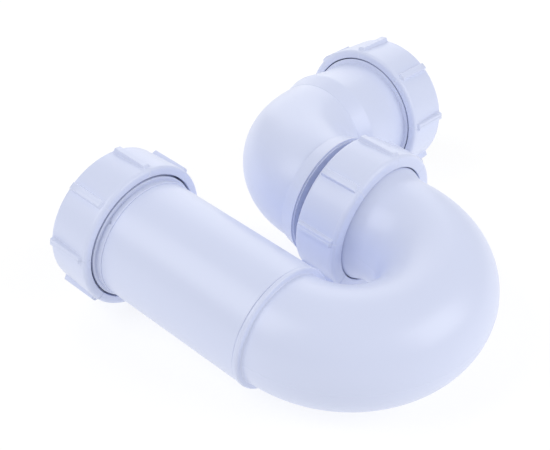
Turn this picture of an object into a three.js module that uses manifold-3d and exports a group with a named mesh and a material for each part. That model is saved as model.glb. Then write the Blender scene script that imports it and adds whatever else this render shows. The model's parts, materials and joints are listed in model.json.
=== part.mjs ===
// P trap: a tubular plastic waste trap lying on its side, millimetres, +Z up.
//
// The trap is drawn flat first: the two legs run along Y, the U-bend closes them
// below Y = 0 and its centre is the origin. The whole drawing is then tipped onto
// the three nuts that it rests on and moved so that the middle of its footprint
// is the origin.
import * as THREE from 'three';
import { mergeVertices } from 'three/addons/utils/BufferGeometryUtils.js';
import Module from 'manifold-3d';

const wasm = await Module();
wasm.setup();

// ---- Driving dimensions (mm) ----

// Facets round every tube, and the longest step along a bend
const SIDES = 32;
const BEND_STEP_DEG = 11.25;

// Gap left between two pieces that touch on the real object, and the size of the
// slivers that a union leaves, which are taken out again
const GAP = 0.3;
const SLIVER = 0.01;

// U-bend: two legs and a half turn
const LEG_OFFSET = 35.75;
const BEND_RADIUS = 23.0;
const BEND_BORE = 20.5;
const BEND_BORE_SLOPE = 0.5;

// Welded joint between the U-bend and the inlet tube
const WELD_COLLAR_RADIUS = 25.3;
const WELD_COLLAR_FROM = -0.6;
const WELD_COLLAR_TO = 1.0;
const WELD_SPIGOT_RADIUS = 22.9;
const WELD_SPIGOT_LENGTH = 8;

// Inlet tube, a long socket that a 43 mm tail pipe slides into
const TUBE_RADIUS = 25.0;
const INLET_RIM = 84.5;
const STOP_RING_RISE = 0.35;
const STOP_RING_FROM = -13.5;
const STOP_RING_TO = -11.5;
const STOP_RING_SLOPE = 0.3;

// Outlet elbow: a quarter turn from the short leg to the outlet. The cuff over its
// spigot flares to a shoulder with a low step, and the flare on its outlet is a cone.
const ELBOW_FOOT_RADIUS = 24.0;
const ELBOW_RADIUS = 24.5;
const ELBOW_FULL_FROM = 55;
const ELBOW_BORE = 21.0;
const ELBOW_TURN_RADIUS = 28.95;
const OUTLET_HEIGHT = 70.8;
const OUTLET_RIM = 71.4;
const SPIGOT_BORE = 18.4;
const SPIGOT_FROM = 5;
const SPIGOT_CHAMFER = 0.6;
const SHOULDER_RADIUS = 26.5;
const SHOULDER_FROM = 36.0;
const SHOULDER_STEP_RADIUS = 25.6;
const SHOULDER_STEP_FROM = 35.4;
const CUFF_RADIUS = 24.9;
const CUFF_TO = 42.2;
const STEP_SLOPE = 0.3;
const FLARE_STEP = 0.15;
const FLARE_RADIUS = 26.6;
const FLARE_FROM = 29.8;
const FLARE_TO = 37.3;
const TAPER_TO = 50;
const SWIVEL_DEG = 6.2;

// Steps in the bores where a wider stretch runs into a narrower one
const BORE_SLOPE = 1.5;

// Swivel joint at the U-bend's outlet, and the bell below its threads
const SWIVEL_RIM = 20.5;
const BELL_RADIUS = 25.0;
const BELL_FROM = -14.2;
const BELL_BEND = -11.2;
const BELL_BEND_RADIUS = 23.6;
const BELL_TO = -9.8;

// Compression joints, measured from the threaded rim of the socket. A thread's
// steps fall midway between the facets of the wall that it stands on.
const PIPE_FIT = 0.4;
const THREAD_DEPTH = 1.7;
const THREAD_FIT = 0.5;
const THREAD_PITCH = 4;
const THREAD_ROOT_WIDTH = 2.2;
const THREAD_CREST_WIDTH = 0.8;
const THREAD_EMBED = 0.3;
const THREAD_SHIFT_TURNS = 0.5 / SIDES;
const INLET_COLLAR_RADIUS = 26.3;
const OUTLET_COLLAR_RADIUS = 26.6;
const COLLAR_FROM = -10.4;
const COLLAR_TO = -9.2;
const MALE_THREAD_FROM = -7.6;
const MALE_THREAD_TO = -1.8;
const FEMALE_THREAD_FROM = -7.6;
const FEMALE_THREAD_TO = 1.4;
const RIM_CHAMFER = 0.7;
const CONE_DEPTH = 3.5;

const LARGE = { pipeRadius: 21.5, threadRoot: 24.9 };
const SMALL = { pipeRadius: 20.6, threadRoot: 23.2 };

// Nut, the same outside for all three
const NUT_FROM = -10.3;
const NUT_TO = 10.4;
const NUT_LIP_RADIUS = 30.8;
const NUT_BACK_RADIUS = 29.8;
const NUT_LIP_CHAMFER = 1.1;
const NUT_BACK_CHAMFER = 0.8;
const NUT_MOUTH_CHAMFER = 0.4;
const NUT_WEB = 3.8;
const RIB_COUNT = 8;
const RIB_RADIUS = 31.9;
const RIB_ROOT_WIDTH = 3.8;
const RIB_TOP_WIDTH = 2.6;
const RIB_EMBED = 1;
const RIB_FROM = -8.7;
const RIB_TO = 9.4;

// Turn of each nut's first rib, degrees round its own axis
const INLET_NUT_TURN = 10.4;
const SWIVEL_NUT_TURN = 13.5;
const OUTLET_NUT_TURN = 32.7;

// Slip ring and tapered seal, measured from the rim, and their fit in the nut
const SEAL_HEAD_TO = 4.0;
const SEAL_NOSE_FROM = -2.6;
const SEAL_NOSE_WALL = 0.25;
const SEAL_LEDGE = 0.9;
const SLIP_RING_FROM = 4.3;
const SLIP_RING_TO = 6.3;
const RING_FIT = 0.1;

// Tip of the drawing that stands it on its three nuts, degrees about X, then Y
const REST_TIP_X_DEG = 3.967;
const REST_TIP_Y_DEG = -3.409;

// ---- Materials ----

function plastic(color) {
  return new THREE.MeshStandardMaterial({ color, roughness: 0.35, metalness: 0 });
}

function whitePlastic() {
  return plastic(0xe9edf6);
}

function clearPlastic() {
  return plastic(0xd8dde6);
}

function rubber() {
  return new THREE.MeshStandardMaterial({ color: 0x202022, roughness: 0.8, metalness: 0 });
}

// ---- Shape helpers ----

// A closed solid made from a geometry whose faces meet
function solidOf(geometry) {
  geometry.deleteAttribute('normal');
  geometry.deleteAttribute('uv');
  const merged = mergeVertices(geometry, 1e-4);
  return new wasm.Manifold(new wasm.Mesh({
    numProp: 3,
    vertProperties: new Float32Array(merged.attributes.position.array),
    triVerts: new Uint32Array(merged.index.array),
  }));
}

// A named mesh made from a closed solid
function pieceOf(name, solid, material) {
  const { vertProperties, triVerts } = solid.asOriginal().simplify(SLIVER).getMesh();
  const geometry = new THREE.BufferGeometry();
  geometry.setAttribute('position', new THREE.BufferAttribute(vertProperties, 3));
  geometry.setIndex(new THREE.BufferAttribute(triVerts, 1));
  geometry.computeVertexNormals();
  const mesh = new THREE.Mesh(geometry, material);
  mesh.name = name;
  return mesh;
}

// Every vertex of a geometry moved by a function of its own coordinates
function reshape(geometry, move) {
  const { position } = geometry.attributes;
  const vertex = new THREE.Vector3();
  for (let i = 0; i < position.count; i += 1) {
    vertex.fromBufferAttribute(position, i);
    move(vertex);
    position.setXYZ(i, vertex.x, vertex.y, vertex.z);
  }
  return geometry;
}

// A closed outline of [radius, along] points turned about the Y axis
function turned(outline) {
  const points = outline.map(([radius, along]) => new THREE.Vector2(radius, along));
  points.push(points[0].clone());
  return new THREE.LatheGeometry(points, SIDES);
}

// The outline with extra points wherever an edge runs through a bend
function withBendSteps(outline, bend) {
  const step = (bend.to - bend.from) / Math.round(bend.degrees / BEND_STEP_DEG);
  const stepped = [];
  outline.forEach(([radius, along], i) => {
    stepped.push([radius, along]);
    const [nextRadius, nextAlong] = outline[(i + 1) % outline.length];
    const direction = Math.sign(nextAlong - along);
    const count = Math.round((bend.to - bend.from) / step);
    for (let k = 0; k <= count; k += 1) {
      const at = direction > 0 ? bend.from + k * step : bend.to - k * step;
      const share = (at - along) / (nextAlong - along);
      const room = Math.min(share, 1 - share) * Math.abs(nextAlong - along);
      if (direction !== 0 && room > step / 4) {
        stepped.push([radius + share * (nextRadius - radius), at]);
      }
    }
  });
  return stepped;
}

// A turned outline whose axis then follows a bend in the XY plane
function turnedAlong(outline, bend) {
  return reshape(turned(withBendSteps(outline, bend)), (vertex) => {
    const { point, normal } = bend.at(vertex.y);
    vertex.set(point.x + vertex.x * normal.x, point.y + vertex.x * normal.y, vertex.z);
  });
}

// The half turn: down the long leg, round the bend and up the short leg
const uBend = {
  degrees: 180,
  from: 0,
  to: Math.PI * LEG_OFFSET,
  at(along) {
    if (along < this.from) {
      return { point: { x: -LEG_OFFSET, y: -along }, normal: { x: -1, y: 0 } };
    }
    if (along > this.to) {
      return { point: { x: LEG_OFFSET, y: along - this.to }, normal: { x: 1, y: 0 } };
    }
    const angle = along / LEG_OFFSET;
    const point = { x: -LEG_OFFSET * Math.cos(angle), y: -LEG_OFFSET * Math.sin(angle) };
    return { point, normal: { x: -Math.cos(angle), y: -Math.sin(angle) } };
  },
};

// The quarter turn: up from the swivel joint and out along +X
const elbowTurn = {
  degrees: 90,
  from: OUTLET_HEIGHT - ELBOW_TURN_RADIUS,
  to: OUTLET_HEIGHT - ELBOW_TURN_RADIUS + (Math.PI / 2) * ELBOW_TURN_RADIUS,
  at(along) {
    if (along < this.from) {
      return { point: { x: 0, y: along }, normal: { x: 1, y: 0 } };
    }
    if (along > this.to) {
      const x = ELBOW_TURN_RADIUS + along - this.to;
      return { point: { x, y: OUTLET_HEIGHT }, normal: { x: 0, y: -1 } };
    }
    const angle = (along - this.from) / ELBOW_TURN_RADIUS;
    const point = {
      x: ELBOW_TURN_RADIUS * (1 - Math.cos(angle)),
      y: this.from + ELBOW_TURN_RADIUS * Math.sin(angle),
    };
    return { point, normal: { x: Math.cos(angle), y: -Math.sin(angle) } };
  },
};

// Distance along the elbow of a point on its outlet, given its X
function onOutlet(x) {
  return elbowTurn.to + x - ELBOW_TURN_RADIUS;
}

// One right-hand screw thread about Y: a ridge from its root to its crest radius
function thread(root, crest, from, to, phaseTurns) {
  const inward = Math.sign(crest - root);
  const buried = root - inward * THREAD_EMBED;
  const half = THREAD_ROOT_WIDTH / 2;
  const halfCrest = THREAD_CREST_WIDTH / 2;
  const section = new THREE.Shape([
    new THREE.Vector2(0, -half),
    new THREE.Vector2(1, -halfCrest),
    new THREE.Vector2(1, halfCrest),
    new THREE.Vector2(0, half),
  ]);
  const turns = Math.round(((to - from) / THREAD_PITCH) * SIDES) / SIDES;
  const steps = Math.round(turns * SIDES);
  const ridge = new THREE.ExtrudeGeometry(section, { depth: turns, steps, bevelEnabled: false });
  return solidOf(reshape(ridge, (vertex) => {
    const turn = vertex.z;
    const radius = buried + vertex.x * (crest - buried);
    const angle = 2 * Math.PI * (turn + phaseTurns + THREAD_SHIFT_TURNS);
    const along = from + turn * THREAD_PITCH + vertex.y;
    vertex.set(radius * Math.sin(angle), along, radius * Math.cos(angle));
  }));
}

// ---- Compression joint: threaded socket rim, tapered seal, slip ring and nut ----

// Outer outline points of the threaded end, from below the nut up to the rim
function threadedRim(size, rim) {
  const root = size.threadRoot;
  const bore = size.pipeRadius + PIPE_FIT;
  return [
    [root, rim - RIM_CHAMFER],
    [root - RIM_CHAMFER / 2, rim],
    [root - RIM_CHAMFER, rim],
    [bore, rim - CONE_DEPTH],
  ];
}

// Collar at the foot of a socket's thread, just inside the mouth of the nut
function threadCollar(size, rim, radius) {
  return [
    [size.threadRoot, rim + COLLAR_FROM - STEP_SLOPE],
    [radius, rim + COLLAR_FROM],
    [radius, rim + COLLAR_TO],
    [size.threadRoot, rim + COLLAR_TO + STEP_SLOPE],
  ];
}

// Male thread of a socket whose rim is at Y = 0
function maleThread(size) {
  const crest = size.threadRoot + THREAD_DEPTH;
  return thread(size.threadRoot, crest, MALE_THREAD_FROM, MALE_THREAD_TO, 0);
}

// Female thread, half a pitch away from the male one
function femaleThread(size) {
  const root = size.threadRoot + THREAD_DEPTH + THREAD_FIT;
  const crest = root - THREAD_DEPTH;
  const lead = (FEMALE_THREAD_FROM - MALE_THREAD_FROM) / THREAD_PITCH;
  return thread(root, crest, FEMALE_THREAD_FROM, FEMALE_THREAD_TO, lead + 0.5);
}

// One axial grip rib, standing on the nut's wall
function nutRib(turnDeg) {
  const foot = NUT_BACK_RADIUS - RIB_EMBED;
  const section = new THREE.Shape([
    new THREE.Vector2(-RIB_ROOT_WIDTH / 2, foot),
    new THREE.Vector2(RIB_ROOT_WIDTH / 2, foot),
    new THREE.Vector2(RIB_TOP_WIDTH / 2, RIB_RADIUS),
    new THREE.Vector2(-RIB_TOP_WIDTH / 2, RIB_RADIUS),
  ]);
  const depth = RIB_TO - RIB_FROM;
  const rib = new THREE.ExtrudeGeometry(section, { depth, bevelEnabled: false });
  rib.rotateX(Math.PI / 2);
  rib.translate(0, RIB_TO, 0);
  rib.rotateY(THREE.MathUtils.degToRad(turnDeg));
  return solidOf(rib);
}

function nut(name, size, turnDeg) {
  const bore = size.threadRoot + THREAD_DEPTH + THREAD_FIT;
  const hole = size.pipeRadius + 2 * PIPE_FIT;
  const web = NUT_TO - NUT_WEB;
  let solid = solidOf(turned([
    [bore + NUT_MOUTH_CHAMFER, NUT_FROM],
    [NUT_LIP_RADIUS - NUT_LIP_CHAMFER, NUT_FROM],
    [NUT_LIP_RADIUS, NUT_FROM + NUT_LIP_CHAMFER],
    [NUT_BACK_RADIUS, NUT_TO - NUT_BACK_CHAMFER],
    [NUT_BACK_RADIUS - NUT_BACK_CHAMFER, NUT_TO],
    [hole, NUT_TO],
    [hole, web],
    [bore, web],
    [bore, NUT_FROM + NUT_MOUTH_CHAMFER],
  ]));
  for (let i = 0; i < RIB_COUNT; i += 1) {
    solid = solid.add(nutRib(turnDeg + (i * 360) / RIB_COUNT));
  }
  return pieceOf(name, solid.add(femaleThread(size)), whitePlastic());
}

function slipRing(name, size) {
  const inner = size.pipeRadius + GAP;
  const outer = size.threadRoot + RING_FIT;
  return pieceOf(name, solidOf(turned([
    [inner, SLIP_RING_FROM],
    [outer, SLIP_RING_FROM],
    [outer, SLIP_RING_TO],
    [inner, SLIP_RING_TO],
  ])), clearPlastic());
}

function taperedSeal(name, size) {
  const inner = size.pipeRadius + GAP;
  const outer = size.threadRoot - RING_FIT;
  return pieceOf(name, solidOf(turned([
    [inner, SEAL_NOSE_FROM],
    [inner + SEAL_NOSE_WALL, SEAL_NOSE_FROM],
    [outer - SEAL_LEDGE, GAP],
    [outer, GAP],
    [outer, SEAL_HEAD_TO],
    [inner, SEAL_HEAD_TO],
  ])), rubber());
}

// Nut, slip ring and seal of one joint, with the rim of the socket at Y = 0
function compressionJoint(name, size, turnDeg) {
  const group = new THREE.Group();
  group.add(nut(`${name}_nut`, size, turnDeg));
  group.add(slipRing(`${name}_slip_ring`, size));
  group.add(taperedSeal(`${name}_seal`, size));
  return group;
}

// ---- Tubes ----

function inletTube() {
  const bore = LARGE.pipeRadius + PIPE_FIT;
  const foot = WELD_COLLAR_TO + GAP;
  const counterbore = WELD_SPIGOT_RADIUS + GAP;
  const counterboreTo = WELD_COLLAR_TO + WELD_SPIGOT_LENGTH + GAP;
  const ringRadius = TUBE_RADIUS + STOP_RING_RISE;
  const body = solidOf(turned([
    [counterbore, foot],
    [TUBE_RADIUS, foot],
    [TUBE_RADIUS, INLET_RIM + STOP_RING_FROM - STOP_RING_SLOPE],
    [ringRadius, INLET_RIM + STOP_RING_FROM],
    [ringRadius, INLET_RIM + STOP_RING_TO],
    [LARGE.threadRoot, INLET_RIM + STOP_RING_TO + STOP_RING_SLOPE],
    ...threadCollar(LARGE, INLET_RIM, INLET_COLLAR_RADIUS),
    ...threadedRim(LARGE, INLET_RIM),
    [bore, counterboreTo + BORE_SLOPE],
    [counterbore, counterboreTo],
  ]));
  return pieceOf('inlet_tube', body.add(maleThread(LARGE).translate([0, INLET_RIM, 0])), whitePlastic());
}

function uBendPiece() {
  const rim = uBend.to + SWIVEL_RIM;
  const body = solidOf(turnedAlong([
    [BEND_BORE, -WELD_COLLAR_TO - WELD_SPIGOT_LENGTH],
    [WELD_SPIGOT_RADIUS, -WELD_COLLAR_TO - WELD_SPIGOT_LENGTH],
    [WELD_SPIGOT_RADIUS, -WELD_COLLAR_TO],
    [WELD_COLLAR_RADIUS, -WELD_COLLAR_TO],
    [WELD_COLLAR_RADIUS, -WELD_COLLAR_FROM],
    [BEND_RADIUS, -WELD_COLLAR_FROM],
    [BEND_RADIUS, rim + BELL_FROM],
    [BELL_BEND_RADIUS, rim + BELL_BEND],
    [BELL_RADIUS, rim + BELL_TO],
    [BELL_RADIUS, rim + COLLAR_TO],
    [SMALL.threadRoot, rim + COLLAR_TO],
    ...threadedRim(SMALL, rim),
    [SMALL.pipeRadius + PIPE_FIT, uBend.to + SPIGOT_FROM - BORE_SLOPE],
    [BEND_BORE, uBend.to + SPIGOT_FROM - BORE_SLOPE - BEND_BORE_SLOPE],
  ], uBend));
  const ridge = maleThread(SMALL).translate([LEG_OFFSET, SWIVEL_RIM, 0]);
  return pieceOf('u_bend', body.add(ridge), whitePlastic());
}

function outletElbow() {
  const rim = onOutlet(OUTLET_RIM);
  const bore = LARGE.pipeRadius + PIPE_FIT;
  const body = solidOf(turnedAlong([
    [SPIGOT_BORE, SPIGOT_FROM],
    [SMALL.pipeRadius - SPIGOT_CHAMFER, SPIGOT_FROM],
    [SMALL.pipeRadius, SPIGOT_FROM + SPIGOT_CHAMFER],
    [SMALL.pipeRadius, SHOULDER_STEP_FROM],
    [SHOULDER_STEP_RADIUS, SHOULDER_STEP_FROM],
    [SHOULDER_STEP_RADIUS, SHOULDER_FROM],
    [SHOULDER_RADIUS, SHOULDER_FROM],
    [CUFF_RADIUS, CUFF_TO],
    [ELBOW_FOOT_RADIUS, CUFF_TO + STEP_SLOPE],
    [ELBOW_RADIUS, ELBOW_FULL_FROM],
    [ELBOW_RADIUS, onOutlet(FLARE_FROM)],
    [ELBOW_RADIUS + FLARE_STEP, onOutlet(FLARE_FROM + STEP_SLOPE)],
    [FLARE_RADIUS, onOutlet(FLARE_TO)],
    [TUBE_RADIUS, onOutlet(TAPER_TO)],
    [LARGE.threadRoot, rim + STOP_RING_TO],
    ...threadCollar(LARGE, rim, OUTLET_COLLAR_RADIUS),
    ...threadedRim(LARGE, rim),
    [bore, onOutlet(FLARE_TO + BORE_SLOPE)],
    [ELBOW_BORE, onOutlet(FLARE_TO)],
    [ELBOW_BORE, CUFF_TO + BORE_SLOPE],
    [SPIGOT_BORE, SHOULDER_FROM + BORE_SLOPE],
  ], elbowTurn));
  const ridge = maleThread(LARGE).rotate([0, 0, -90]).translate([OUTLET_RIM, OUTLET_HEIGHT, 0]);
  return pieceOf('outlet_elbow', body.add(ridge), whitePlastic());
}

// ---- Assembly ----

const inletSide = new THREE.Group();
inletSide.position.x = -LEG_OFFSET;
const inletJoint = compressionJoint('inlet', LARGE, INLET_NUT_TURN);
inletJoint.position.y = INLET_RIM;
inletSide.add(inletTube(), inletJoint);

const swivelJoint = compressionJoint('swivel', SMALL, SWIVEL_NUT_TURN);
swivelJoint.position.set(LEG_OFFSET, SWIVEL_RIM, 0);

const elbow = new THREE.Group();
elbow.position.x = LEG_OFFSET;
elbow.rotation.y = THREE.MathUtils.degToRad(SWIVEL_DEG);
const outletJoint = compressionJoint('outlet', LARGE, OUTLET_NUT_TURN);
outletJoint.position.set(OUTLET_RIM, OUTLET_HEIGHT, 0);
outletJoint.rotation.z = -Math.PI / 2;
elbow.add(outletElbow(), outletJoint);

const drawing = new THREE.Group();
drawing.rotation.set(
  THREE.MathUtils.degToRad(REST_TIP_X_DEG),
  THREE.MathUtils.degToRad(REST_TIP_Y_DEG),
  0,
);
drawing.add(inletSide, uBendPiece(), swivelJoint, elbow);

const trap = new THREE.Group();
trap.name = 'p_trap';
trap.add(drawing);
const reach = new THREE.Box3().setFromObject(trap, true);
const middle = reach.getCenter(new THREE.Vector3());
drawing.position.set(-middle.x, -middle.y, -reach.min.z);

export default trap;
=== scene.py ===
"""P trap lying on its side: the looks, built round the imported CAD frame.

Lengths at the top are millimetres and angles are degrees, unless a heading says
otherwise. Everything that is drawn is in metres, in the frame's own axes, and is placed
from the axes and points of the frame's joints.
"""

import json

import bpy
import numpy as np
from mathutils import Euler, Matrix, Vector


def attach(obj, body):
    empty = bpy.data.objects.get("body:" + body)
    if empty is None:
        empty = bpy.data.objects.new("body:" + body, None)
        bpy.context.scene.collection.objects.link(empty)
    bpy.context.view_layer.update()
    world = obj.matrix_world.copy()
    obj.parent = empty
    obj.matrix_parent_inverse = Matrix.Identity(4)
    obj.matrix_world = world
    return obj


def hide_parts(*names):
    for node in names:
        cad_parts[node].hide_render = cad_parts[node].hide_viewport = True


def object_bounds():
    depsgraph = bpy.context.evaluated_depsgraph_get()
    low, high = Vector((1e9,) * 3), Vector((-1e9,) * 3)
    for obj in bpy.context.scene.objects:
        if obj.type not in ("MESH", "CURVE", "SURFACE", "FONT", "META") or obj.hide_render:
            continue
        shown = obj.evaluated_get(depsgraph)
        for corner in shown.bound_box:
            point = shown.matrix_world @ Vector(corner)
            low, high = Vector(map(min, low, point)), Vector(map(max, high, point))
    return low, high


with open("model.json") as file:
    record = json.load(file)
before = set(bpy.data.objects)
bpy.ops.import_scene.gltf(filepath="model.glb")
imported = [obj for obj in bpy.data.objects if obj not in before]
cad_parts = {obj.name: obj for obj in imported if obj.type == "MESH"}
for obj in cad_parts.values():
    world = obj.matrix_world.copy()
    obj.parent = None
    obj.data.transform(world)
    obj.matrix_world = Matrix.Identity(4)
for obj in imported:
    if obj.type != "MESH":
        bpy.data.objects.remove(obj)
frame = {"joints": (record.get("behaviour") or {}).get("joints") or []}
cad_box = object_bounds()
JOINTS = {joint["name"]: joint for joint in frame["joints"]}
MM = 0.001

# ---- Fineness: steps and reaches, numbers of columns and shares of a fillet ----
COLUMNS = 160
BEND_STEP = 1.5
THREAD_STEP = 0.25
THREAD_MARGIN = 2.0
RIB_STEP = 0.1
RIB_EDGE_REACH = 0.6
RIB_TOP_COLUMNS = 3
RIB_EDGE_COLUMNS = 9
NUT_WALL_COLUMNS = 7
DETAIL_COLUMNS = 9
DETAIL_REACH = 1.2
COLUMN_GAP_RAD = 0.01
FILLET_STEPS = 4
FILLET_SHARE = 0.45
SUPPORT_SHARE = 0.1
ON_WALL = 0.05

# ---- Edge rounding, from a hairline to a long blend ----
HAIR_EDGE = 0.05
FINE_EDGE = 0.1
CRISP_EDGE = 0.15
SMALL_EDGE = 0.2
COLLAR_EDGE = 0.25
EDGE = 0.3
WELD_EDGE = 0.4
MOUTH_EDGE = 0.45
SOFT_EDGE = 0.5
CONE_EDGE = 0.6
WELD_BLEND = 0.7
ROUND_EDGE = 0.8
BELL_BLEND = 1.6
LONG_BLEND = 3.0

# ---- U-bend and its welded joint to the inlet tube ----
BEND_RADIUS = 23.0
BEND_BORE = 20.5
WELD_RADIUS = 25.3
WELD_FROM = -0.6
WELD_TO = 1.0
WELD_SLOPE = 0.2
WELD_GAP = 0.12
SPIGOT_RADIUS = 22.9
SPIGOT_LENGTH = 8.0
PARTING_RISE = 0.08
PARTING_HALF_WIDTH = 0.4
PARTING_TOP_HALF_WIDTH = 0.1
BEND_SKIN_RADIUS = BEND_RADIUS - PARTING_RISE
SKIN_MARGIN = 0.01
SOCKET_FLOOR = 1.5
SOCKET_FLOOR_SLOPE = 0.5
BORE_SLOPE = 1.5

# ---- Inlet tube ----
TUBE_RADIUS = 25.0
STOP_RING_RISE = 0.35
STOP_RING_FROM = -13.5
STOP_RING_TO = -11.5
NOTCH_DEG = 317.5
NOTCH_LENGTH = 0.9
NOTCH_HALF_WIDTH = 0.7
NOTCH_FLOOR_HALF_WIDTH = 0.3
NOTCH_DEPTH = 0.45
NOTCH_STEP = 0.15

# ---- Outlet elbow ----
ELBOW_FOOT_RADIUS = 24.0
ELBOW_RADIUS = 24.5
ELBOW_FULL_FROM = 55.0
ELBOW_BORE = 21.0
ELBOW_TURN_RADIUS = 28.95
OUTLET_HEIGHT = 70.8
SPIGOT_BORE = 18.4
SPIGOT_FROM = 5.0
SHOULDER_RADIUS = 26.5
SHOULDER_FROM = 36.0
SHOULDER_STEP_RADIUS = 25.6
SHOULDER_STEP_FROM = 35.4
CUFF_RADIUS = 24.9
CUFF_TO = 42.2
CUFF_SLOPE = 0.15
FLARE_STEP = 0.15
FLARE_RADIUS = 26.6
FLARE_FROM = 29.8
FLARE_TO = 37.3
TAPER_TO = 50.0

# ---- Compression joints, measured from the rim of the socket ----
SWIVEL_RIM = 20.5
OUTLET_RIM = 71.4
PIPE_FIT = 0.4
THREAD_DEPTH = 1.7
THREAD_FIT = 0.5
THREAD_PITCH = 4.0
THREAD_ROOT_WIDTH = 2.2
THREAD_CREST_WIDTH = 0.8
THREAD_SOFTNESS = 0.05
THREAD_ROOT_MARGIN = 0.2
THREAD_FADE_TURNS = 0.12
HALF_TURN = 0.5
INLET_COLLAR_RADIUS = 26.3
OUTLET_COLLAR_RADIUS = 26.6
GROOVE_DEPTH = 0.3
GROOVE_WIDTH = 0.25
COLLAR_FROM = -10.4
COLLAR_TO = -9.2
COLLAR_SLOPE = 0.2
BELL_RADIUS = 25.0
BELL_FROM = -14.4
BELL_TO = -9.8
MALE_THREAD = (-7.6, -1.8)
FEMALE_THREAD = (-7.6, 1.4)
RIM_CHAMFER = 0.7
CONE_DEPTH = 3.5
LARGE = {"pipe": 21.5, "root": 24.9}
SMALL = {"pipe": 20.6, "root": 23.2}
SOFT_GAP = 0.3

# ---- Nuts ----
NUT_FROM = -10.3
NUT_TO = 10.4
NUT_LIP_RADIUS = 30.8
NUT_BACK_RADIUS = 29.8
NUT_LIP_FILLET = 1.7
NUT_BACK_FILLET = 1.2
NUT_WEB = 3.8
WEB_MARGIN = 1.0
RIB_COUNT = 8
RIB_RADIUS = 31.9
RIB_ROOT_WIDTH = 3.8
RIB_TOP_WIDTH = 2.8
RIB_FROM = -8.7
RIB_TO = 9.4
RIB_END = 0.9
RIB_SOFTNESS = 0.1
INLET_NUT_TURN = 10.4
SWIVEL_NUT_TURN = 13.5
OUTLET_NUT_TURN = 32.7

# ---- Slip rings and seals ----
SEAL_HEAD_TO = 4.0
SEAL_NOSE_FROM = -2.6
SEAL_NOSE_RISE = 0.15
SEAL_SHOULDER = 0.9
SEAL_INSET = 0.1
SLIP_RING_FROM = 4.3
SLIP_RING_TO = 6.3
SLIP_RING_OUTSET = 0.1

# ---- Materials ----
WHITE = (0.66, 0.71, 0.9)
NATURAL = (0.7, 0.72, 0.78)
BLACK = (0.03, 0.03, 0.032)
WHITE_ROUGHNESS = 0.33
NATURAL_ROUGHNESS = 0.45
RUBBER_ROUGHNESS = 0.75
WHITE_GRAIN = 0.04
NATURAL_GRAIN = 0.1
RUBBER_GRAIN = 0.4
REFRACTION = 1.5
CLOUD_SCALE = 35.0
CLOUD_DETAIL = 3.0
CLOUD_SHADE = 0.985
GLOSS_SPREAD = 0.04
GRAIN_SCALE = 900.0
GRAIN_DETAIL = 2.0
GRAIN_HEIGHT = 0.1

# ---- Camera ----
CAMERA_AZIMUTH = -47.85
CAMERA_ELEVATION = 35.34
CAMERA_ROLL = 0.44
CAMERA_DISTANCE = 482.8
CAMERA_AIM = (-19.35, 19.95, -1.4)
CAMERA_LENS = 78.2
SENSOR_WIDTH = 36.0

# ---- Clipping, floor and light: metres, degrees and watts ----
CLIP_START = 0.01
CLIP_END = 100.0
FLOOR_SIZE = 12.0
FLOOR_TONE = 0.27
FLOOR_ROUGHNESS = 0.9
FLOOR_GLOW = 0.75
WORLD_STRENGTH = 0.55
SIDE_LIGHT = {"azimuth": 293, "elevation": 31, "distance": 1.4, "size": 0.9, "power": 7.4}
BACK_LIGHT = {"azimuth": 45, "elevation": 22, "distance": 1.4, "size": 1.2, "power": 4.8}
LEFT_LIGHT = {"azimuth": 148, "elevation": 44, "distance": 1.4, "size": 0.9, "power": 6.4}


# ---- Where things are ----


def joint_axis(name):
    """The joint's axis as a unit vector."""
    return Vector(JOINTS[name]["axis"]).normalized()


def joint_point(name):
    """A point on the joint's axis, in metres."""
    return Vector(JOINTS[name]["pos_m"])


def axes_at(x_axis, y_axis, origin):
    """A placing matrix from two axes and an origin, in metres."""
    z_axis = x_axis.cross(y_axis)
    turn = Matrix((x_axis, y_axis, z_axis)).transposed().to_4x4()
    return Matrix.Translation(origin) @ turn


LEG = joint_axis("inlet_nut_turn")
OUTLET = joint_axis("outlet_nut_turn")
INLET_RIM_POINT = joint_point("inlet_nut_turn")
SWIVEL_RIM_POINT = joint_point("swivel_nut_turn")
OUTLET_RIM_POINT = joint_point("outlet_nut_turn")

across = SWIVEL_RIM_POINT - INLET_RIM_POINT
across -= across.dot(LEG) * LEG
LEG_OFFSET = across.length / 2 / MM
ACROSS = across.normalized()
BEND_CENTRE = SWIVEL_RIM_POINT - SWIVEL_RIM * MM * LEG - across / 2
INLET_RIM = (INLET_RIM_POINT - BEND_CENTRE).dot(LEG) / MM

BEND_AXES = axes_at(ACROSS, LEG, BEND_CENTRE)
INLET_AXES = axes_at(ACROSS, LEG, INLET_RIM_POINT)
SWIVEL_AXES = axes_at(ACROSS, LEG, SWIVEL_RIM_POINT)
ELBOW_AXES = axes_at(OUTLET, LEG, SWIVEL_RIM_POINT - SWIVEL_RIM * MM * LEG)
OUTLET_AXES = axes_at(-LEG, OUTLET, OUTLET_RIM_POINT)


# ---- Paths that an axis follows: centre and sideways direction at each distance ----


def straight(along):
    """Along +Y, with +X sideways."""
    zero = np.zeros_like(along)
    return zero, along, zero + 1, zero


def u_bend_path(along):
    """Down the inlet leg, round the half turn from 0, and up the short leg."""
    turn_end = np.pi * LEG_OFFSET
    angle = np.clip(along, 0, turn_end) / LEG_OFFSET
    before = np.minimum(along, 0)
    after = np.maximum(along - turn_end, 0)
    x = -LEG_OFFSET * np.cos(angle)
    y = -LEG_OFFSET * np.sin(angle) - before + after
    return x, y, -np.cos(angle), -np.sin(angle)


ELBOW_TURN_FROM = OUTLET_HEIGHT - ELBOW_TURN_RADIUS
ELBOW_TURN_TO = ELBOW_TURN_FROM + np.pi / 2 * ELBOW_TURN_RADIUS
U_BEND_TO = np.pi * LEG_OFFSET


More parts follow.
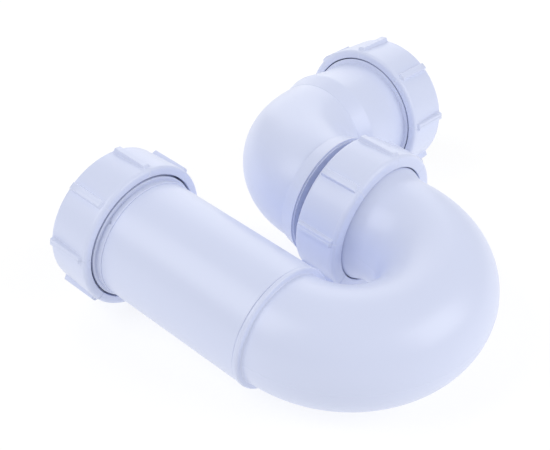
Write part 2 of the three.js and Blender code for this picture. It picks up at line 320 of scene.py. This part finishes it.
def elbow_path(along):
    """Up from the swivel joint, round the quarter turn and out."""
    angle = (np.clip(along, ELBOW_TURN_FROM, ELBOW_TURN_TO) - ELBOW_TURN_FROM) / ELBOW_TURN_RADIUS
    before = np.minimum(along, ELBOW_TURN_FROM)
    after = np.maximum(along - ELBOW_TURN_TO, 0)
    x = ELBOW_TURN_RADIUS * (1 - np.cos(angle)) + after
    y = before + ELBOW_TURN_RADIUS * np.sin(angle)
    return x, y, np.cos(angle), -np.sin(angle)


def on_outlet(x):
    """Distance along the elbow of a point on its outlet."""
    return ELBOW_TURN_TO + x - ELBOW_TURN_RADIUS


# ---- Outlines: closed lists of (radius, along) corners ----


def filleted(corners):
    """Corners (radius, along, fillet) rounded off, with a support point each side."""
    points = []
    count = len(corners)
    for i, (radius, along, fillet) in enumerate(corners):
        here = np.array([radius, along])
        before = np.array(corners[i - 1][:2]) - here
        after = np.array(corners[(i + 1) % count][:2]) - here
        reach_before = min(fillet, FILLET_SHARE * np.linalg.norm(before))
        reach_after = min(fillet, FILLET_SHARE * np.linalg.norm(after))
        start = here + before / np.linalg.norm(before) * reach_before
        end = here + after / np.linalg.norm(after) * reach_after
        points.append(start + (start - here) * SUPPORT_SHARE)
        for k in range(FILLET_STEPS + 1):
            t = k / FILLET_STEPS
            points.append((1 - t) ** 2 * start + 2 * t * (1 - t) * here + t**2 * end)
        points.append(end + (end - here) * SUPPORT_SHARE)
    return points


def stepped(points, spans):
    """Extra points where the outline runs through a (from, to, step) span."""
    result = []
    for i, here in enumerate(points):
        result.append(here)
        after = points[(i + 1) % len(points)]
        length = after[1] - here[1]
        stops = []
        for low, high, step in spans:
            for place in np.arange(low, high + step / 2, step):
                if step / 4 < (place - here[1]) * np.sign(length) < abs(length) - step / 4:
                    stops.append((place - here[1]) / length)
        for share in sorted(stops):
            result.append(here + (after - here) * share)
    return np.array(result)


# ---- Reliefs: extra radius at each (radius, along, angle) ----


def smooth(value, low, high):
    """0 at low, 1 at high, with a gentle start and end."""
    t = np.clip((value - low) / (high - low), 0, 1)
    return t * t * (3 - 2 * t)


def thread_relief(span, phase_turns, offset=0.0):
    """A right-hand trapezoid ridge, 0 at its root and THREAD_DEPTH at its crest."""
    low, high = span
    turns = (high - low) / THREAD_PITCH
    crest = THREAD_CREST_WIDTH / 2 - THREAD_SOFTNESS
    root = THREAD_ROOT_WIDTH / 2 + THREAD_SOFTNESS

    def relief(along, angle):
        turn = angle / (2 * np.pi) - phase_turns
        lap = np.round((along - offset - low) / THREAD_PITCH - turn)
        place = turn + lap
        away = np.abs(along - offset - low - THREAD_PITCH * place)
        slope = 1 - smooth(away, crest, root)
        ends = np.minimum(place, turns - place)
        return THREAD_DEPTH * slope * smooth(ends, 0, THREAD_FADE_TURNS)

    return relief


def rib_relief(turn_deg):
    """Axial ribs with flat tops, 0 on the nut's wall and 1 on a rib's top."""
    pitch = 2 * np.pi / RIB_COUNT
    top = RIB_TOP_WIDTH / 2 - RIB_SOFTNESS
    root = RIB_ROOT_WIDTH / 2 + RIB_SOFTNESS

    def relief(along, angle):
        away = (angle - np.radians(turn_deg) + pitch / 2) % pitch - pitch / 2
        width = np.abs(away) * RIB_RADIUS
        across_rib = 1 - smooth(width, top, root)
        ends = np.minimum(along - RIB_FROM, RIB_TO - along)
        return across_rib * smooth(ends, 0, RIB_END)

    return relief


def rib_columns(turn_deg):
    """Angles that are close together at each edge of a rib and wide between ribs."""
    pitch = 2 * np.pi / RIB_COUNT
    edge = (RIB_TOP_WIDTH + RIB_ROOT_WIDTH) / 4 / RIB_RADIUS
    half = RIB_EDGE_REACH / RIB_RADIUS
    near = np.linspace(edge - half, edge + half, RIB_EDGE_COLUMNS)
    inner = np.linspace(0, edge - half, RIB_TOP_COLUMNS, endpoint=False)
    outer = np.linspace(edge + half, pitch / 2, NUT_WALL_COLUMNS)[1:]
    side = np.concatenate([inner, near, outer])
    one = np.concatenate([-side[::-1][1:], side])[:-1]
    return np.concatenate([one + np.radians(turn_deg) + i * pitch for i in range(RIB_COUNT)])


EVEN_COLUMNS = np.linspace(0, 2 * np.pi, COLUMNS, endpoint=False)


def columns_close_at(angles, half_width, radius):
    """Even angles, with more of them near each of the given angles."""
    reach = DETAIL_REACH * half_width / radius
    near = np.linspace(-reach, reach, DETAIL_COLUMNS)
    extra = np.concatenate([angle + near for angle in angles])
    clear = np.min(np.abs(EVEN_COLUMNS[:, None] - extra[None, :]), axis=1) > COLUMN_GAP_RAD
    return np.sort(np.concatenate([EVEN_COLUMNS[clear], extra]))


# ---- Meshes ----


def turned(name, outline, columns, path, axes, relief=None):
    """A closed outline turned about an axis that follows a path, as one closed mesh."""
    rows, sides = len(outline), len(columns)
    radius = np.repeat(outline[:, 0], sides).reshape(rows, sides)
    along = np.repeat(outline[:, 1], sides).reshape(rows, sides)
    angle = np.tile(columns, rows).reshape(rows, sides)
    if relief is not None:
        radius = relief(radius, along, angle)
    x, y, side_x, side_y = path(along)
    sideways = radius * np.sin(angle)
    local = np.stack([x + sideways * side_x, y + sideways * side_y, radius * np.cos(angle)], -1)
    turn = np.array(axes.to_3x3())
    places = local.reshape(-1, 3) * MM @ turn.T + np.array(axes.translation)
    faces = []
    for i in range(rows):
        below, above = i * sides, (i + 1) % rows * sides
        for j in range(sides):
            k = (j + 1) % sides
            faces.append((below + j, below + k, above + k, above + j))
    mesh = bpy.data.meshes.new(name)
    mesh.from_pydata(places.tolist(), [], faces)
    mesh.shade_smooth()
    piece = bpy.data.objects.new(name, mesh)
    bpy.context.scene.collection.objects.link(piece)
    return piece


def stands_for(piece, node, body, material):
    """Puts a piece on its body, in place of the CAD node of that name."""
    piece.data.materials.append(material)
    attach(piece, body)
    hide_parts(node)


# ---- Compression joint ----


def bore_of(size):
    """Radius of the socket that takes this size of pipe."""
    return size["pipe"] + PIPE_FIT


def rim_corners(size, rim):
    """The threaded end of a socket, from its outer wall over the rim into its cone."""
    return [
        (size["root"], rim - RIM_CHAMFER, EDGE),
        (size["root"] - RIM_CHAMFER / 2, rim, SMALL_EDGE),
        (size["root"] - RIM_CHAMFER, rim, SMALL_EDGE),
        (bore_of(size), rim - CONE_DEPTH, CONE_EDGE),
    ]


def male_relief(size, rim):
    """The thread on the outer wall between the collar and the rim."""
    ridge = thread_relief(MALE_THREAD, 0.0, rim)
    low = size["root"] - THREAD_ROOT_MARGIN
    high = size["root"] + ON_WALL

    def relief(radius, along, angle):
        wall = (radius > low) & (radius < high)
        zone = (along > rim + COLLAR_TO) & (along < rim)
        return radius + np.where(wall & zone, ridge(along, angle), 0)

    return relief


def nut(name, size, turn_deg, axes):
    """A ribbed nut with its thread inside and a web that holds the slip ring."""
    bore = size["root"] + THREAD_DEPTH + THREAD_FIT
    hole = size["pipe"] + 2 * PIPE_FIT
    web = NUT_TO - NUT_WEB
    outline = filleted([
        (bore, NUT_FROM, MOUTH_EDGE),
        (NUT_LIP_RADIUS, NUT_FROM, NUT_LIP_FILLET),
        (NUT_BACK_RADIUS, NUT_TO, NUT_BACK_FILLET),
        (hole, NUT_TO, SOFT_EDGE),
        (hole, web, EDGE),
        (bore, web, SOFT_EDGE),
    ])
    spans = [
        (RIB_FROM, RIB_FROM + RIB_END, RIB_STEP),
        (RIB_TO - RIB_END, RIB_TO, RIB_STEP),
        (FEMALE_THREAD[0] - THREAD_MARGIN, FEMALE_THREAD[1] + THREAD_MARGIN, THREAD_STEP),
    ]
    ridge = thread_relief(FEMALE_THREAD, HALF_TURN)
    ribs = rib_relief(turn_deg)

    def relief(radius, along, angle):
        outer = radius > NUT_BACK_RADIUS - ON_WALL
        inner = (np.abs(radius - bore) < ON_WALL) & (along < web - WEB_MARGIN)
        rise = (RIB_RADIUS - radius) * ribs(along, angle)
        return radius + np.where(outer, rise, 0) - np.where(inner, ridge(along, angle), 0)

    columns = rib_columns(turn_deg)
    return turned(name, stepped(outline, spans), columns, straight, axes, relief)


def slip_ring(name, size, axes):
    """The flat ring between the nut's web and the seal."""
    inner = size["pipe"] + SOFT_GAP
    outer = size["root"] + SLIP_RING_OUTSET
    outline = filleted([
        (inner, SLIP_RING_FROM, EDGE),
        (outer, SLIP_RING_FROM, EDGE),
        (outer, SLIP_RING_TO, EDGE),
        (inner, SLIP_RING_TO, EDGE),
    ])
    return turned(name, np.array(outline), EVEN_COLUMNS, straight, axes)


def tapered_seal(name, size, axes):
    """The seal: a nose that follows the socket's cone, and a head over its rim."""
    inner = size["pipe"] + SOFT_GAP
    outer = size["root"] - SEAL_INSET
    outline = filleted([
        (inner, SEAL_NOSE_FROM, HAIR_EDGE),
        (bore_of(size) + SEAL_NOSE_RISE, SEAL_NOSE_FROM, HAIR_EDGE),
        (outer - SEAL_SHOULDER, SOFT_GAP, SMALL_EDGE),
        (outer, SOFT_GAP, EDGE),
        (outer, SEAL_HEAD_TO, SOFT_EDGE),
        (inner, SEAL_HEAD_TO, SOFT_EDGE),
    ])
    return turned(name, np.array(outline), EVEN_COLUMNS, straight, axes)


def collar_corners(size, rim, radius):
    """The collar at the foot of a large thread, just inside the mouth of the nut."""
    return [
        (size["root"], rim + COLLAR_FROM - COLLAR_SLOPE, CRISP_EDGE),
        (radius, rim + COLLAR_FROM, COLLAR_EDGE),
        (radius, rim + COLLAR_TO, SMALL_EDGE),
        (size["root"], rim + COLLAR_TO + COLLAR_SLOPE, FINE_EDGE),
    ]


def compression_joint(name, size, turn_deg, axes, socket_body):
    """The nut, slip ring and seal of one joint. The seal stays in its socket."""
    nut_piece = nut(f"{name}_nut_shell", size, turn_deg, axes)
    stands_for(nut_piece, f"{name}_nut", f"{name}_nut", WHITE_NUT)
    ring = slip_ring(f"{name}_slip_ring_fine", size, axes)
    stands_for(ring, f"{name}_slip_ring", f"{name}_ring", NATURAL_RING)
    seal = tapered_seal(f"{name}_seal_fine", size, axes)
    stands_for(seal, f"{name}_seal", socket_body, BLACK_RUBBER)


# ---- Tubes ----


def inlet_tube():
    """The long straight tube, measured from its threaded rim down to the weld."""
    rim = 0.0
    foot = WELD_TO + WELD_GAP - INLET_RIM
    counterbore = SPIGOT_RADIUS + SOFT_GAP
    counterbore_to = foot + SPIGOT_LENGTH
    ring_radius = TUBE_RADIUS + STOP_RING_RISE
    notch_from = STOP_RING_TO - NOTCH_LENGTH
    notch_full_from = STOP_RING_TO - NOTCH_LENGTH / 2
    outline = filleted([
        (counterbore, foot, SMALL_EDGE),
        (TUBE_RADIUS, foot, EDGE),
        (TUBE_RADIUS, STOP_RING_FROM - GROOVE_WIDTH, FINE_EDGE),
        (TUBE_RADIUS - GROOVE_DEPTH / 2, STOP_RING_FROM, HAIR_EDGE),
        (ring_radius, STOP_RING_FROM, EDGE),
        (ring_radius, STOP_RING_TO, SMALL_EDGE),
        (LARGE["root"] - GROOVE_DEPTH, STOP_RING_TO, HAIR_EDGE),
        (LARGE["root"], STOP_RING_TO + GROOVE_WIDTH, FINE_EDGE),
        *collar_corners(LARGE, rim, INLET_COLLAR_RADIUS),
        *rim_corners(LARGE, rim),
        (bore_of(LARGE), counterbore_to + BORE_SLOPE, EDGE),
        (counterbore, counterbore_to, EDGE),
    ])
    spans = [(COLLAR_TO, rim, THREAD_STEP), (notch_from, STOP_RING_TO, NOTCH_STEP)]
    thread = male_relief(LARGE, rim)
    notch_angle = np.radians(NOTCH_DEG)

    def relief(radius, along, angle):
        ring = (radius > TUBE_RADIUS + STOP_RING_RISE / 2) & (along < STOP_RING_TO + NOTCH_STEP)
        away = np.abs(angle - notch_angle) * TUBE_RADIUS
        across_notch = 1 - smooth(away, NOTCH_FLOOR_HALF_WIDTH, NOTCH_HALF_WIDTH)
        along_notch = smooth(along, notch_from, notch_full_from)
        notch = NOTCH_DEPTH * across_notch * along_notch
        return thread(radius, along, angle) - np.where(ring, notch, 0)

    columns = columns_close_at([notch_angle], NOTCH_HALF_WIDTH, TUBE_RADIUS)
    outline = stepped(outline, spans)
    return turned("inlet_tube_fine", outline, columns, straight, INLET_AXES, relief)


def u_bend():
    """The half turn from the welded ring to the bell and thread of the swivel joint."""
    rim = U_BEND_TO + SWIVEL_RIM
    socket_floor = U_BEND_TO + SPIGOT_FROM - SOCKET_FLOOR
    outline = filleted([
        (BEND_BORE, -WELD_TO - SPIGOT_LENGTH, EDGE),
        (SPIGOT_RADIUS, -WELD_TO - SPIGOT_LENGTH, WELD_EDGE),
        (SPIGOT_RADIUS, -WELD_TO, FINE_EDGE),
        (WELD_RADIUS, -WELD_TO, WELD_EDGE),
        (WELD_RADIUS, -WELD_FROM, WELD_BLEND),
        (BEND_SKIN_RADIUS, -WELD_FROM + WELD_SLOPE, SOFT_EDGE),
        (BEND_SKIN_RADIUS, rim + BELL_FROM, LONG_BLEND),
        (BELL_RADIUS, rim + BELL_TO, BELL_BLEND),
        (BELL_RADIUS, rim + COLLAR_TO, SMALL_EDGE),
        (SMALL["root"], rim + COLLAR_TO + COLLAR_SLOPE, FINE_EDGE),
        *rim_corners(SMALL, rim),
        (bore_of(SMALL), socket_floor, SMALL_EDGE),
        (BEND_BORE, socket_floor - SOCKET_FLOOR_SLOPE, SMALL_EDGE),
    ])
    spans = [(0, U_BEND_TO, BEND_STEP), (rim + COLLAR_TO, rim, THREAD_STEP)]
    thread = male_relief(SMALL, rim)

    def relief(radius, along, angle):
        outside = np.abs(radius - BEND_SKIN_RADIUS) < SKIN_MARGIN
        away = np.abs(np.cos(angle)) * BEND_RADIUS
        line = PARTING_RISE * (1 - smooth(away, PARTING_TOP_HALF_WIDTH, PARTING_HALF_WIDTH))
        return thread(radius, along, angle) + np.where(outside, line, 0)

    columns = columns_close_at([np.pi / 2, 3 * np.pi / 2], PARTING_HALF_WIDTH, BEND_RADIUS)
    outline = stepped(outline, spans)
    return turned("u_bend_fine", outline, columns, u_bend_path, BEND_AXES, relief)


def outlet_elbow():
    """The quarter turn from its spigot in the swivel joint to the outlet's thread."""
    rim = on_outlet(OUTLET_RIM)
    outline = filleted([
        (SPIGOT_BORE, SPIGOT_FROM, EDGE),
        (SMALL["pipe"], SPIGOT_FROM, ROUND_EDGE),
        (SMALL["pipe"], SHOULDER_STEP_FROM, EDGE),
        (SHOULDER_STEP_RADIUS, SHOULDER_STEP_FROM, SMALL_EDGE),
        (SHOULDER_STEP_RADIUS, SHOULDER_FROM, CRISP_EDGE),
        (SHOULDER_RADIUS, SHOULDER_FROM, COLLAR_EDGE),
        (CUFF_RADIUS, CUFF_TO, CRISP_EDGE),
        (ELBOW_FOOT_RADIUS, CUFF_TO + CUFF_SLOPE, SMALL_EDGE),
        (ELBOW_RADIUS, ELBOW_FULL_FROM, LONG_BLEND),
        (ELBOW_RADIUS, on_outlet(FLARE_FROM), EDGE),
        (ELBOW_RADIUS + FLARE_STEP, on_outlet(FLARE_FROM) + FLARE_STEP, SMALL_EDGE),
        (FLARE_RADIUS, on_outlet(FLARE_TO), ROUND_EDGE),
        (TUBE_RADIUS, on_outlet(TAPER_TO), LONG_BLEND),
        (LARGE["root"], rim + STOP_RING_TO, SMALL_EDGE),
        *collar_corners(LARGE, rim, OUTLET_COLLAR_RADIUS),
        *rim_corners(LARGE, rim),
        (bore_of(LARGE), on_outlet(FLARE_TO + BORE_SLOPE), EDGE),
        (ELBOW_BORE, on_outlet(FLARE_TO), EDGE),
        (ELBOW_BORE, CUFF_TO + BORE_SLOPE, SOFT_EDGE),
        (SPIGOT_BORE, SHOULDER_FROM + BORE_SLOPE, SOFT_EDGE),
    ])
    spans = [(ELBOW_TURN_FROM, ELBOW_TURN_TO, BEND_STEP), (rim + COLLAR_TO, rim, THREAD_STEP)]
    outline = stepped(outline, spans)
    thread = male_relief(LARGE, rim)
    return turned("outlet_elbow_fine", outline, EVEN_COLUMNS, elbow_path, ELBOW_AXES, thread)


# ---- Materials ----


def moulded(name, colour, roughness, grain):
    """A moulded surface: faint clouding of colour and gloss, and a fine grain."""
    material = bpy.data.materials.new(name)
    material.use_nodes = True
    nodes, links = material.node_tree.nodes, material.node_tree.links
    shader = nodes["Principled BSDF"]
    shader.inputs["IOR"].default_value = REFRACTION
    place = nodes.new("ShaderNodeTexCoord")

    cloud = nodes.new("ShaderNodeTexNoise")
    cloud.inputs["Scale"].default_value = CLOUD_SCALE
    cloud.inputs["Detail"].default_value = CLOUD_DETAIL
    links.new(place.outputs["Object"], cloud.inputs["Vector"])
    tint = nodes.new("ShaderNodeValToRGB")
    tint.color_ramp.elements[0].color = (*[c * CLOUD_SHADE for c in colour], 1)
    tint.color_ramp.elements[1].color = (*colour, 1)
    links.new(cloud.outputs["Fac"], tint.inputs["Fac"])
    links.new(tint.outputs["Color"], shader.inputs["Base Color"])

    gloss = nodes.new("ShaderNodeMapRange")
    gloss.inputs["To Min"].default_value = roughness - GLOSS_SPREAD
    gloss.inputs["To Max"].default_value = roughness + GLOSS_SPREAD
    links.new(cloud.outputs["Fac"], gloss.inputs["Value"])
    links.new(gloss.outputs["Result"], shader.inputs["Roughness"])

    fine = nodes.new("ShaderNodeTexNoise")
    fine.inputs["Scale"].default_value = GRAIN_SCALE
    fine.inputs["Detail"].default_value = GRAIN_DETAIL
    links.new(place.outputs["Object"], fine.inputs["Vector"])
    bump = nodes.new("ShaderNodeBump")
    bump.inputs["Strength"].default_value = grain
    bump.inputs["Distance"].default_value = GRAIN_HEIGHT * MM
    links.new(fine.outputs["Fac"], bump.inputs["Height"])
    links.new(bump.outputs["Normal"], shader.inputs["Normal"])
    return material


def white_plastic(name):
    """Satin white polypropylene of the tubes and nuts."""
    return moulded(name, WHITE, WHITE_ROUGHNESS, WHITE_GRAIN)


def natural_plastic(name):
    """Unpigmented polyethylene of the slip rings."""
    return moulded(name, NATURAL, NATURAL_ROUGHNESS, NATURAL_GRAIN)


def soft_rubber(name):
    """Matt black rubber of the seals."""
    return moulded(name, BLACK, RUBBER_ROUGHNESS, RUBBER_GRAIN)


WHITE_PIPE = white_plastic("white_pipe_plastic")
WHITE_NUT = white_plastic("white_nut_plastic")
NATURAL_RING = natural_plastic("natural_ring_plastic")
BLACK_RUBBER = soft_rubber("black_rubber")

# ---- The trap ----

stands_for(inlet_tube(), "inlet_tube", "trap_body", WHITE_PIPE)
stands_for(u_bend(), "u_bend", "trap_body", WHITE_PIPE)
stands_for(outlet_elbow(), "outlet_elbow", "outlet_elbow", WHITE_PIPE)
compression_joint("inlet", LARGE, INLET_NUT_TURN, INLET_AXES, "trap_body")
compression_joint("swivel", SMALL, SWIVEL_NUT_TURN, SWIVEL_AXES, "trap_body")
compression_joint("outlet", LARGE, OUTLET_NUT_TURN, OUTLET_AXES, "outlet_elbow")


# ---- Floor, light and camera ----


def floor():
    """A plain floor that glows, so that it stays nearly white under the trap."""
    mesh = bpy.data.meshes.new("floor")
    half = FLOOR_SIZE / 2
    corners = [(-half, -half, 0), (half, -half, 0), (half, half, 0), (-half, half, 0)]
    mesh.from_pydata(corners, [], [(0, 1, 2, 3)])
    piece = bpy.data.objects.new("floor", mesh)
    bpy.context.scene.collection.objects.link(piece)
    material = bpy.data.materials.new("white_floor")
    material.use_nodes = True
    shader = material.node_tree.nodes["Principled BSDF"]
    shader.inputs["Base Color"].default_value = (FLOOR_TONE, FLOOR_TONE, FLOOR_TONE, 1)
    shader.inputs["Roughness"].default_value = FLOOR_ROUGHNESS
    shader.inputs["Emission Color"].default_value = (1, 1, 1, 1)
    shader.inputs["Emission Strength"].default_value = FLOOR_GLOW
    piece.data.materials.append(material)


def world_light():
    """Even white light from all round."""
    world = bpy.data.worlds.new("white_studio")
    bpy.context.scene.world = world
    world.use_nodes = True
    background = world.node_tree.nodes["Background"]
    background.inputs["Color"].default_value = (1, 1, 1, 1)
    background.inputs["Strength"].default_value = WORLD_STRENGTH


def softbox(name, settings):
    """A square area light that faces the middle of the trap."""
    data = bpy.data.lights.new(name, "AREA")
    data.size = settings["size"]
    data.energy = settings["power"]
    piece = bpy.data.objects.new(name, data)
    azimuth, elevation = np.radians([settings["azimuth"], settings["elevation"]])
    level = np.cos(elevation)
    away = Vector((level * np.cos(azimuth), level * np.sin(azimuth), np.sin(elevation)))
    piece.location = (Vector(cad_box[0]) + Vector(cad_box[1])) / 2 + away * settings["distance"]
    piece.rotation_euler = away.to_track_quat("Z", "Y").to_euler()
    bpy.context.scene.collection.objects.link(piece)


def camera():
    """The camera, aimed at a point near the middle of the trap."""
    data = bpy.data.cameras.new("camera")
    data.lens = CAMERA_LENS
    data.sensor_width = SENSOR_WIDTH
    data.clip_start = CLIP_START
    data.clip_end = CLIP_END
    piece = bpy.data.objects.new("camera", data)
    middle = (Vector(cad_box[0]) + Vector(cad_box[1])) / 2
    aim = middle + Vector(CAMERA_AIM) * MM
    tilt = np.radians([90 - CAMERA_ELEVATION, 0, CAMERA_AZIMUTH])
    turn = Euler(tilt, "XYZ").to_matrix() @ Matrix.Rotation(np.radians(CAMERA_ROLL), 3, "Z")
    back = turn @ Vector((0, 0, 1))
    piece.location = aim + back * CAMERA_DISTANCE * MM
    piece.rotation_euler = turn.to_euler()
    bpy.context.scene.collection.objects.link(piece)
    bpy.context.scene.camera = piece


floor()
world_light()
softbox("side_softbox", SIDE_LIGHT)
softbox("back_softbox", BACK_LIGHT)
softbox("left_softbox", LEFT_LIGHT)
camera()
bpy.context.scene.view_settings.view_transform = "Standard"
